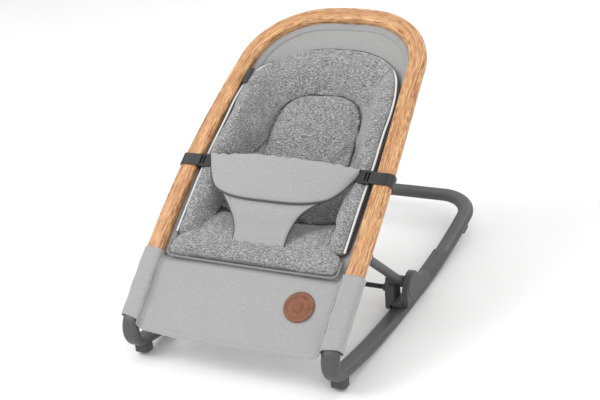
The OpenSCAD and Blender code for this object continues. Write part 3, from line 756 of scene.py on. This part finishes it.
def lining():
    """The pads' own base cloth, which shows between them."""
    v = np.linspace(LINING_V[0], LINING_V[-1], 60)
    half = np.interp(v, LINING_V, LINING_HALF)
    x = half[:, None] * np.linspace(-1, 1, 41)[None]
    v = v[:, None] + 0 * x
    points = seat(x, v, trough(x, v) + 0.0012)
    piece = sheet_mesh("pad_lining", points, grid_uv(points))
    apply_modifier(piece, "SOLIDIFY", thickness=0.0010, offset=1)
    finish(piece, "heather_cloth")


def seat_pad():
    def spot(a, b):
        v = 0.107 + 0.128 * a
        return (2 * b - 1) * np.interp(v, SEAT_V, SEAT_HALF), v

    piece = solid_cushion(
        "seat_cushion", spot,
        lambda a, b, x, v: pad_base(x, v) - 0.001 + 0.004 * (1 - crown(a, b)),
        lambda a, b, x, v: pad_base(x, v) + 0.004 + 0.014 * crown(a, b) + 0.008 * np.clip(1 - a * 3, 0, 1),
        40, 60,
    )
    puff(piece, lowest(0.003), cap=0.005)
    finish(piece, "heather_cloth")
    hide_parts("seat_pad")
    # Piping along the front edge and round its corners
    t = np.linspace(-1, 1, 120)
    x = 0.169 * np.sign(t) * np.minimum(1, np.abs(t) * 1.12)
    corner = climb(np.abs(t), 0.84, 0.16)
    v = 0.105 + 0.032 * corner ** 1.6
    x = x + 0.0015 * np.sign(t) * corner
    piping = cord_on_seat("seat_piping", x, v, pad_base(x, v) + 0.009, PIPING_R)
    finish(piping, "heather_cloth", look=thread_look("heather_piping", 0.22))


def back_pad():
    piece = solid_cushion(
        "back_cushion",
        lambda a, b: ((2 * b - 1) * 0.126, 0.236 + 0.112 * a),
        lambda a, b, x, v: pad_base(x, v) - 0.001,
        lambda a, b, x, v: pad_base(x, v) + 0.004 + 0.011 * crown(a, b),
        36, 44,
    )
    puff(piece, lowest(0.003), cap=0.005)
    finish(piece, "heather_cloth")
    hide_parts("back_pad")


# The headrest's foot, where its top starts to close, and the top's half width and rise
HEAD_FOOT, HEAD_V0, HEAD_HALF, HEAD_RISE = 0.350, 0.425, 0.091, 0.097
# How round the headrest's top is, and the bolster's outside
HEAD_POWER, TOP_POWER = 0.72, 0.80


def headrest_pad():
    def spot(a, b):
        top = HEAD_V0 + HEAD_RISE
        v = HEAD_FOOT + (top - 0.0005 - HEAD_FOOT) * (1 - (1 - a) ** 1.7)
        up = climb(v, HEAD_V0, HEAD_RISE) ** (1 / HEAD_POWER)
        return (2 * b - 1) * HEAD_HALF * np.maximum(0.06, np.sqrt(1 - up**2) ** HEAD_POWER), v

    piece = solid_cushion(
        "headrest", spot,
        lambda a, b, x, v: pad_base(x, v) - 0.001,
        lambda a, b, x, v: pad_base(x, v) + 0.003 + 0.011 * crown(a, b, 3.0),
        48, 44,
    )
    puff(piece, lowest(0.003), cap=0.005)
    finish(piece, "heather_cloth")
    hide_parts("headrest_pad")


# The feet of the bolster's legs, and each leg's share of its length
LEG_V = 0.152
LEG_SHARE = 0.34
BOLSTER_HALF, BOLSTER_RISE = 0.164, 0.202
# Puckers over the headrest, from the bolster's inner seam outwards: start and end of each
PUCKERS = [
    ((0.004, 0.528), (0.012, 0.556)), ((-0.014, 0.527), (-0.024, 0.549)), ((0.030, 0.524), (0.044, 0.545)),
]


def bolster_spot(a, r):
    """a runs from the right leg's foot over the head to the left leg's; r runs from inside to outside."""
    turn = climb(a, LEG_SHARE, 1 - 2 * LEG_SHARE) * math.pi
    down = np.clip((LEG_SHARE - np.minimum(a, 1 - a)) / LEG_SHARE, 0, 1)
    v0 = HEAD_V0 - down * (HEAD_V0 - LEG_V)
    spread = ease(np.clip((HEAD_V0 - v0) / 0.10, 0, 1))
    inner = HEAD_HALF + 0.001 + 0.030 * spread
    outer = BOLSTER_HALF + 0.004 * spread
    foot = np.clip((LEG_V + 0.05 - v0) / 0.05, 0, 1)
    inner = inner + 0.012 * foot**2
    half = inner + (outer - inner) * r
    rise = HEAD_RISE + 0.001 + (BOLSTER_RISE - HEAD_RISE - 0.001) * r
    power = HEAD_POWER + (TOP_POWER - HEAD_POWER) * r
    c, s = np.cos(turn), np.maximum(0, np.sin(turn))
    return half * np.sign(c) * np.abs(c) ** power, v0 + rise * s**power


def bolster():
    """One padded surround: both sides of the seat and the arc over the head."""

    def high(a, b, x, v):
        r = 1 - b
        body = np.maximum(0, (1 - np.abs(2 * r - 1) ** 2.6)) ** 0.5
        ends = np.maximum(0, 1 - np.abs(2 * a - 1) ** 40) ** 0.5
        tall = np.interp(v, [0.15, 0.24, 0.32, 0.42, 0.52, 0.62], [0.012, 0.018, 0.018, 0.019, 0.018, 0.015])
        pucker = 0.004 * np.exp(-((a - 0.5) / 0.012) ** 2) * np.clip(1.4 - 2 * r, 0, 1)
        return pad_base(x, v) + 0.003 + tall * body * ends - pucker

    piece = solid_cushion(
        "bolster", lambda a, b: bolster_spot(a, 1 - b),
        lambda a, b, x, v: pad_base(x, v) - 0.001, high, 190, 16,
    )
    puff(piece, lowest(0.004), cap=0.006)
    for start, end in PUCKERS:
        crease(piece, start, end)
    finish(piece, "heather_cloth")
    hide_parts("head_bolster", "side_bolster_left", "side_bolster_right")
    # White piping round the outside, and beyond it a black strip: partly binding, partly painted shade of the
    # gap along the arch
    a = np.linspace(0.004, 0.996, 300)
    x, v = bolster_spot(a, 1.012 + 0 * a)
    drop = 0.0075 * climb(v, 0.53, 0.07)
    piping = cord_on_seat("bolster_piping", x, v, pad_base(x, v) + 0.006 - drop, PIPING_R)
    finish(piping, "heather_cloth", look=WHITE_THREAD)
    rows = []
    for r, lift in ((1.03, 0.0005), (1.035, 0.0042), (1.10, 0.0040), (1.14, 0.0005)):
        x, v = bolster_spot(a, r + 0 * a)
        # Over the head the strip thins and sinks, and is only a painted contact shadow along the bolster's
        # edge
        thin = climb(v, 0.50, 0.07)
        x, v = bolster_spot(a, r + (1.028 + (r - 1.03) * 0.12 - r) * thin)
        limit = inner_half(v, ARCH_W / 2 + 0.0008)
        x = np.sign(x) * np.minimum(np.abs(x), limit)
        rows.append(seat(x, v, pad_base(x, v) + lift - 0.0035 * climb(v, 0.56, 0.05)))
    band = np.stack(rows, axis=1)
    finish(sheet_mesh("bolster_binding_and_gap_shade", band, grid_uv(band)), "webbing")


# ---------------------------------------------------------------- belly band and crotch strap

BAND_HALF = 0.151


def band_w(x):
    """How high the band arches over the child, by x."""
    return 0.017 + 0.020 * (1 - (np.minimum(np.abs(x), BAND_HALF) / BAND_HALF) ** 2)


def band_low(x):
    """v of the band's lower edge."""
    t = np.minimum(np.abs(x) / BAND_HALF, 1)
    return 0.225 + 0.050 * t**3 + 0.035 * climb(t, 0.70, 0.30) ** 2.2


def band_top(x):
    """v of the band's upper edge."""
    t = np.minimum(np.abs(x) / BAND_HALF, 1)
    return 0.3175 + 0.003 * t**2


def belly_band():
    def spot(a, b):
        x = BAND_HALF * np.sin((a - 0.5) * math.pi * 0.995)
        low, top = band_low(x), band_top(x)
        return x, low + (top - low) * b

    def wave(b, x, v):
        fold = 0.0026 * np.sin(x * 150 + 4 * np.sin(x * 47)) * np.clip(3 * b - 2, 0, 1) ** 2
        fold += 0.0012 * np.sin(x * 52 + v * 90) * np.clip(1.5 * b, 0, 1)
        return band_w(x) + fold - 0.006 * (b - 0.55) ** 2 * 4

    piece = solid_cushion(
        "belly_band_cloth", spot,
        lambda a, b, x, v: wave(b, x, v) - 0.0022 * crown(a, b, 6, 0.35) - 0.0006,
        lambda a, b, x, v: wave(b, x, v) + 0.0030 * crown(a, b, 6, 0.35) + 0.0006,
        96, 28,
    )
    finish(piece, "light_cloth")
    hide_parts("belly_band")
    x = BAND_HALF * np.sin(np.linspace(-0.5, 0.5, 160) * math.pi * 0.99)
    v = band_low(x) - 0.0012
    w = band_w(x) - 0.0063
    finish(cord_on_seat("band_piping", x, v, w, 0.0017), "light_cloth", look=DARK_THREAD)
    thread = stitches("band_stitches", seat(x * 0.97, v + 0.006, w + 0.0035), step=0.0036)
    finish(thread, "light_cloth", look=GRAY_THREAD)


# v of the strap's lower end, its half width there, and how far it spreads along the band
CROTCH_LOW, CROTCH_HALF, CROTCH_SPREAD = 0.147, 0.052, 0.120


def crotch_strap():
    """From the seat pad up to the band's lower edge, which it follows as it spreads."""

    def spot(a, b):
        b = 2 * b - 1
        top = CROTCH_SPREAD * b
        flare = climb(a, 0.20, 0.80) ** 1.8
        x = b * (CROTCH_HALF + 0.006 * a) + (top - b * (CROTCH_HALF + 0.006)) * flare
        return x, CROTCH_LOW + (np.minimum(band_low(top), 0.245) + 0.010 - CROTCH_LOW) * a

    def mid(a, x, v):
        join = ease(climb(a, 0.40, 0.52))
        low = np.interp(v, [0.147, 0.160, 0.180, 0.205, 0.250], [0.001, 0.0035, 0.0085, 0.018, 0.030])
        creases = 0.0018 * np.sin(x * 210 + v * 60) * np.exp(-a * 6)
        creases += 0.001 * np.sin(x * 70 + a * 5) * a * (1 - a)
        return low * (1 - join) + (band_w(x) - 0.0108) * join + creases

    piece = solid_cushion(
        "crotch_strap_cloth", spot,
        lambda a, b, x, v: mid(a, x, v) - 0.0017,
        lambda a, b, x, v: mid(a, x, v) - 0.0004 + 0.0016 * crown(a, b, 8, 0.3),
        60, 40,
    )
    finish(piece, "light_cloth")
    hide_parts("crotch_strap")
    for side, tag in ((-1, "l"), (1, "r")):
        a = np.linspace(0.01, 0.94, 60)
        x, v = spot(a, 0.5 + 0.5 * side + 0 * a)
        w = mid(a, x, v) - 0.001
        binding = cord_on_seat(f"crotch_binding_{tag}", x, v, w, 0.0014)
        finish(binding, "light_cloth", look=DARK_THREAD)
        thread = stitches(f"crotch_stitches_{tag}", seat(x * 0.93, v, w + 0.0026), step=0.0036)
        finish(thread, "light_cloth", look=GRAY_THREAD)


# ---------------------------------------------------------------- skirt

PANEL_HALF, SKIRT_TOP = 0.180, 0.106
SLEEVE_TOP, SLEEVE_LOW = 0.113, -0.022
# The sleeve's section: its height, width and corner radius, and how far out from the wood's middle it sits
SLEEVE_SECTION, SLEEVE_SHIFT = (0.0255, 0.0408, 0.010), 0.0003
# How far the sleeve's inner side reaches down past its outer side, and over how many rows
CUFF_DIP, CUFF_ROWS = 0.006, 12


def hem_v(x):
    """The panel's lower edge: a shallow curve that turns up at the notches beside the sleeves."""
    t = np.abs(x) / PANEL_HALF
    return -0.0465 + 0.007 * t**2 + 0.006 * climb(t, 0.9, 0.1) ** 2


def panel_v(x, a):
    """v of the panel, a of the way up from its hem."""
    return hem_v(x) + (SKIRT_TOP - hem_v(x)) * a


def panel_w(x, a):
    """The panel's height, a of the way up from its hem: taut, with soft folds, and higher at the sleeves."""
    t = np.abs(x) / PANEL_HALF
    v = panel_v(x, a)
    folds = 0.0011 * np.sin(x * 61 + 2.2 * np.sin(v * 24)) * (1 - a) + 0.0008 * np.sin(v * 75 + x * 24) * t
    edge = climb(t, 0.93, 0.07) ** 2
    return 0.0015 + folds + 0.0075 * edge - 0.006 * climb(a, 0.93, 0.07)


def bend(piece):
    """Bakes the piece's transform into its mesh. The two seat points it works out are not used."""
    tuple(seat(0, -0.020))
    tuple(seat(0, 0.024))
    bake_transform(piece)


def skirt():
    a, x = np.meshgrid(np.linspace(0, 1, 56), np.linspace(-PANEL_HALF, PANEL_HALF, 121), indexing="ij")
    points = seat(x, panel_v(x, a), panel_w(x, a))
    piece = sheet_mesh("skirt_panel", points, grid_uv(points))
    apply_modifier(piece, "SOLIDIFY", thickness=0.0018, offset=-1)
    finish(piece, "light_cloth", body=None)
    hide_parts("skirt")
    bend(piece)

    # Hem: the cloth rolled at the lower edge, with a row of stitches above it
    x = np.linspace(-PANEL_HALF + 0.001, PANEL_HALF - 0.001, 160)
    hem = cord_on_seat("skirt_hem", x, hem_v(x), panel_w(x, 0) - 0.0009, 0.0017)
    bend(finish(hem, "light_cloth", body=None))
    line = seat(x, hem_v(x) + 0.0105, panel_w(x, 0.07) + 0.0002)
    bend(finish(stitches("hem_stitches", line), "light_cloth", body=None, look=GRAY_THREAD))

    for side, tag in ((-1, "l"), (1, "r")):
        sleeve(side, tag)
        # Seam between the panel and the sleeve
        v = np.linspace(-0.036, 0.104, 60)
        sx = side * (flank(np.maximum(v, 0)) - 0.0185)
        seam = cord_on_seat(f"skirt_seam_{tag}", sx, v, 0.0098 + 0 * v, 0.0011)
        bend(finish(seam, "light_cloth", body=None))
        thread = stitches(f"skirt_seam_stitches_{tag}", seat(sx - side * 0.006, v, 0.0058 + 0 * v))
        bend(finish(thread, "light_cloth", body=None, look=GRAY_THREAD))


def sleeve(side, tag):
    """A sleeve round an end of the arch, which reaches down over the pivot."""
    ring = np.asarray(box_section(*SLEEVE_SECTION, 11))
    rows = []
    for k, vk in enumerate(np.linspace(SLEEVE_LOW, SLEEVE_TOP, 40)):
        rumple = 1 + 0.02 * np.sin(vk * 140 + ring[:, 0] * 300)
        centre = side * (flank(max(vk, 0.0)) + SLEEVE_SHIFT)
        low = vk - CUFF_DIP * max(0.0, 1 - k / CUFF_ROWS) * np.clip(-side * ring[:, 1] / 0.02, 0, 1)
        rows.append(seat(centre + ring[:, 1] * rumple, low, ring[:, 0] * rumple))
    points = np.stack(rows)
    points = np.concatenate([points, points[:, :1]], axis=1)
    piece = sheet_mesh(f"skirt_sleeve_{tag}", points, grid_uv(points))
    apply_modifier(piece, "WELD", merge_threshold=0.00001)
    apply_modifier(piece, "SOLIDIFY", thickness=0.0016, offset=-1)
    finish(piece, "light_cloth", body=None)
    bend(piece)


# ---------------------------------------------------------------- straps, badge, tag


# v of the straps, half the webbing's width, and where its free end stops, in from the arch
STRAP_V, WEBBING_HALF, END_X = 0.306, 0.0125, 0.1735


def strap(side, tag):
    """Webbing loop round an arch side, and its free end in the buckle."""
    x0 = float(flank(STRAP_V))
    ring = np.asarray(box_section(ARCH_T + 0.0038, ARCH_W + 0.0038, 0.0080, 9))
    around = np.concatenate([ring, ring[:1]])
    width = np.linspace(-WEBBING_HALF, WEBBING_HALF, 9)
    curl = [1 - 0.010 * (s / WEBBING_HALF) ** 4 for s in width]
    points = np.stack([
        seat(side * (x0 + around[:, 1]), STRAP_V + s, around[:, 0] * c) for s, c in zip(width, curl)
    ])
    piece = sheet_mesh(f"strap_loop_cloth_{tag}", points, grid_uv(points)[..., ::-1])
    apply_modifier(piece, "SOLIDIFY", thickness=0.0016, offset=0)
    finish(piece, "webbing")
    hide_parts(f"strap_loop_{'left' if side < 0 else 'right'}")
    # The free end runs through the buckle's outer slot and back
    x = side * np.linspace(END_X, x0 - 0.012, 14)
    lift = np.interp(np.abs(x), [END_X, 0.178, 0.186], [0.0138, 0.0128, 0.0110])
    end = np.stack([seat(x, STRAP_V + s, lift) for s in width])
    piece = sheet_mesh(f"strap_end_{tag}", end, grid_uv(end))
    apply_modifier(piece, "SOLIDIFY", thickness=0.0015, offset=0)
    finish(piece, "webbing")


BADGE_X, BADGE_V = 0.117, 0.045
# The badge's face from beyond its centre to its rim: radius and height, with two grooves
BADGE_PROFILE = [
    (0.0080, 0.0021), (0.0088, 0.0014), (0.0096, 0.0021), (0.0206, 0.0021), (0.0212, 0.0015),
    (0.0220, 0.0021), (0.0271, 0.0020), (0.0283, 0.0014), (0.0285, 0.0004), (0.0281, 0.0),
]


def badge():
    """Plain leather disc with a stitched rim and two embossed rings."""
    centre = Vector(seat(BADGE_X, BADGE_V, 0.0026))
    tilt = Matrix.Rotation(SLOPE - BADGE_V / ARCH_R, 4, "X")

    def spot(r, angle, height):
        return tilt @ Vector((r * math.cos(angle), r * math.sin(angle), height)) + centre

    n = 96
    points = [spot(r, 2 * math.pi * k / n, h) for r, h in BADGE_PROFILE for k in range(n)]
    points.append(spot(0, 0, BADGE_PROFILE[0][1]))
    faces = grid_faces(len(BADGE_PROFILE), n, wrap=True)
    faces += [[len(points) - 1, k, (k + 1) % n] for k in range(n)]
    piece = new_mesh("badge_disc", points, faces)
    mesh_outwards(piece)
    finish(piece, "brown_leather")
    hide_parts("badge")
    ring = [tuple(spot(0.0250, t, 0.0022)) for t in np.linspace(0, 2 * math.pi, 120)]
    thread = stitches("badge_stitches", ring, step=0.0030, r=0.0003)
    finish(thread, "brown_leather", look=thread_look("tan_thread", 0.16))


def side_tag():
    """Small folded black label, left blank, sewn in at the arch's inner edge and lying over the bolster's."""
    v = np.linspace(0.497, 0.537, 14)
    x = np.array([-0.1480, -0.1510, -0.1550, -0.1585, -0.1610, -0.1630, -0.1640])
    lift = np.array([0.0085, 0.0100, 0.0108, 0.0105, 0.0085, 0.0040, -0.0010])
    grid = np.stack([seat(x, vk, lift) for vk in v])
    piece = sheet_mesh("side_label", grid, grid_uv(grid))
    apply_modifier(piece, "SOLIDIFY", thickness=0.0009, offset=0)
    finish(piece, "webbing")
    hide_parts("side_tag")


arch_frame()
base_tube()
sling()
lining()
seat_pad()
back_pad()
headrest_pad()
bolster()
belly_band()
crotch_strap()
skirt()
strap(-1, "l")
strap(1, "r")
badge()
side_tag()


# ---------------------------------------------------------------- room, light and camera


def floor():
    bpy.ops.mesh.primitive_plane_add(size=14, location=(0, 0, 0))
    plane = bpy.context.object
    plane.name = "floor"
    k = Look("floor", Roughness=0.75, Specular_IOR_Level=0.2)
    k.color(k.ramp(k.noise(k.mapped("Object"), 3, 3), [(0.3, gray(0.90)), (0.7, gray(0.92))]))
    plane.data.materials.append(k.mat)


def lamp(name, place, target, size, power):
    light = bpy.data.lights.new(name, "AREA")
    light.size = size
    light.energy = power
    ob = bpy.data.objects.new(name, light)
    bpy.context.scene.collection.objects.link(ob)
    ob.location = place
    ob.rotation_euler = (Vector(target) - Vector(place)).to_track_quat("-Z", "Y").to_euler()


def studio():
    world = bpy.data.worlds.new("studio")
    bpy.context.scene.world = world
    world.use_nodes = True
    world.node_tree.nodes["Background"].inputs["Color"].default_value = (1, 1, 1, 1)
    world.node_tree.nodes["Background"].inputs["Strength"].default_value = 0.9
    lamp("key", (-1.5, -1.6, 2.2), (0, 0, 0.2), 1.4, 38)
    lamp("fill", (1.9, -1.2, 1.4), (0, 0, 0.2), 1.8, 12)
    lamp("back", (0.3, 2.2, 1.8), (0, 0, 0.3), 1.6, 14)
    bpy.context.scene.view_settings.view_transform = "Standard"


def camera():
    """Stands where the photograph was taken from: turned 27.5 degrees, 23 down, and rolled 4.8."""
    turn, tilt, roll = (math.radians(a) for a in (27.4663, 22.9739, -4.7656))
    right = Vector((math.cos(turn), math.sin(turn), 0))
    ahead = Vector((-math.sin(turn) * math.cos(tilt), math.cos(turn) * math.cos(tilt), -math.sin(tilt)))
    up = right.cross(ahead)
    right, up = math.cos(roll) * right + math.sin(roll) * up, math.cos(roll) * up - math.sin(roll) * right
    cam = bpy.data.cameras.new("camera")
    cam.sensor_width = 36
    cam.lens = 74.12
    ob = bpy.data.objects.new("camera", cam)
    bpy.context.scene.collection.objects.link(ob)
    place = Matrix((right, up, -ahead)).transposed().to_4x4()
    place.translation = Vector((0.9952, PIVOT.y - 1.6203, 1.1233))
    ob.matrix_world = place
    bpy.context.scene.camera = ob


floor()
studio()
camera()
bpy.context.view_layer.update()
